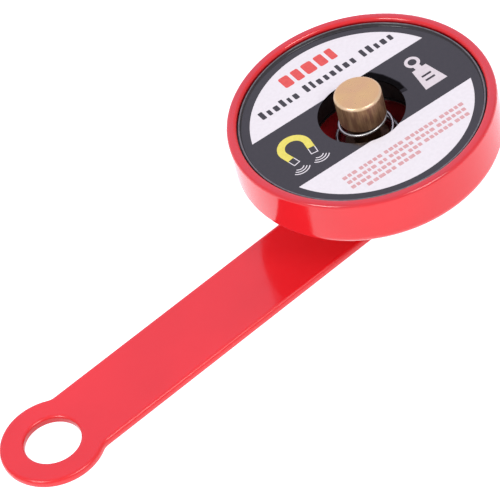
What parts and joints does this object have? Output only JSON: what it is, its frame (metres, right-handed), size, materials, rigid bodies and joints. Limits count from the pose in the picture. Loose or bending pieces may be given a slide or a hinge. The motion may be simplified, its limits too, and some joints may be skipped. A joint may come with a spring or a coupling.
{
  "type": "welding magnet holder",
  "caption": "Round magnetic pot with a sprung brass contact stud in its face and a flat painted handle with an eye, for grounding a weld.",
  "frame": {"origin": "centre of the brass contact stud's flat tip, with the stud at rest", "axes": "+Z out of the magnet's face along the stud, handle along -X from the cup to its eye, Y across the handle"},
  "size_m": [0.1831, 0.08, 0.0419],
  "materials": {
    "red_paint": "gloss",
    "ferrite": "matte",
    "epoxy": "satin",
    "label_print": "gloss",
    "brass": "satin",
    "zinc_steel": "satin",
    "nylon": "satin",
    "spring_steel": "polished"
  },
  "bodies": {
    "holder": {"cup": "red_paint", "ring_magnet": "ferrite", "magnet_potting": "epoxy", "face_label": "label_print", "guide_bush": "brass", "conical_spring": "spring_steel", "handle_post": "red_paint", "post_weld_upper": "red_paint", "post_weld_lower": "red_paint", "handle": "red_paint"},
    "stop_washer": {"tail_washer": "zinc_steel"},
    "contact": {"contact_stud": "brass", "retaining_nut": "zinc_steel", "nut_insert": "nylon"}
  },
  "joints": [
    {"name": "contact_slide", "type": "slide", "parent": "holder", "child": "stop_washer", "axis": [0, 0, -1], "range_m": [0, 0.006], "stiffness_N_per_m": 1500, "springref_m": -0.005, "deforming": ["conical_spring"]},
    {"name": "contact_spin", "type": "hinge", "parent": "stop_washer", "child": "contact", "pos_m": [0, 0, 0], "axis": [0, 0, 1], "continuous": true}
  ]
}
